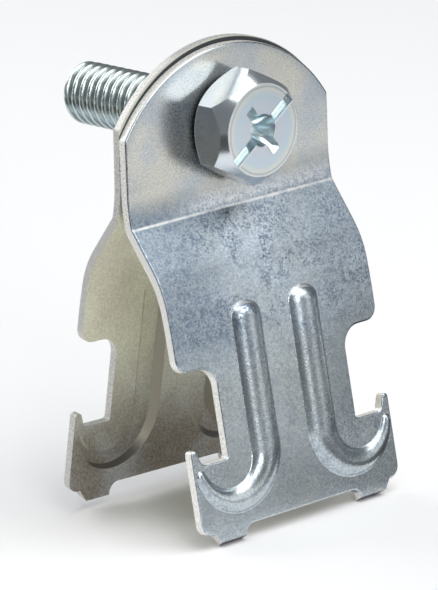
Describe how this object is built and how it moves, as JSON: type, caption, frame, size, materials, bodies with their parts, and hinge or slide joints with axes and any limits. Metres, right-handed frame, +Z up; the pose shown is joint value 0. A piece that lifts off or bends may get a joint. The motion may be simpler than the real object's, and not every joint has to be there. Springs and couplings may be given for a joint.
{
  "type": "strut clamp",
  "caption": "Two-piece stamped strut clamp for conduit: mating ears drawn together by a hex-head bolt, ribbed legs with hooked feet that lock under the lips of a channel.",
  "frame": {"origin": "midway between the two straps, at the height where the channel's lips sit in the rear strap's pockets", "axes": "+X along the conduit, to the right seen from the bolt's head; +Y along the bolt towards its tail; +Z up from the feet to the ears"},
  "size_m": [0.0345, 0.0386, 0.0593],
  "materials": {
    "zinc_strap": "satin zinc plate",
    "zinc_bolt": "bright zinc plate"
  },
  "bodies": {
    "rear_strap": {"rear_strap": "zinc_strap"},
    "front_strap": {"front_strap": "zinc_strap"},
    "bolt": {"bolt": "zinc_bolt"}
  },
  "joints": [
    {"name": "front_slide", "type": "slide", "parent": "rear_strap", "child": "front_strap", "axis": [0, -1, 0], "range_m": [0, 0.0212]},
    {"name": "bolt_turn", "type": "hinge", "parent": "front_strap", "child": "bolt", "pos_m": [0, -0.0012, 0.03757], "axis": [0, -1, 0], "range_deg": [0, 5400]}
  ],
  "couplings": [
    {"joint": "front_slide", "follows": "bolt_turn", "m_per_rad": 0.00022458}
  ]
}
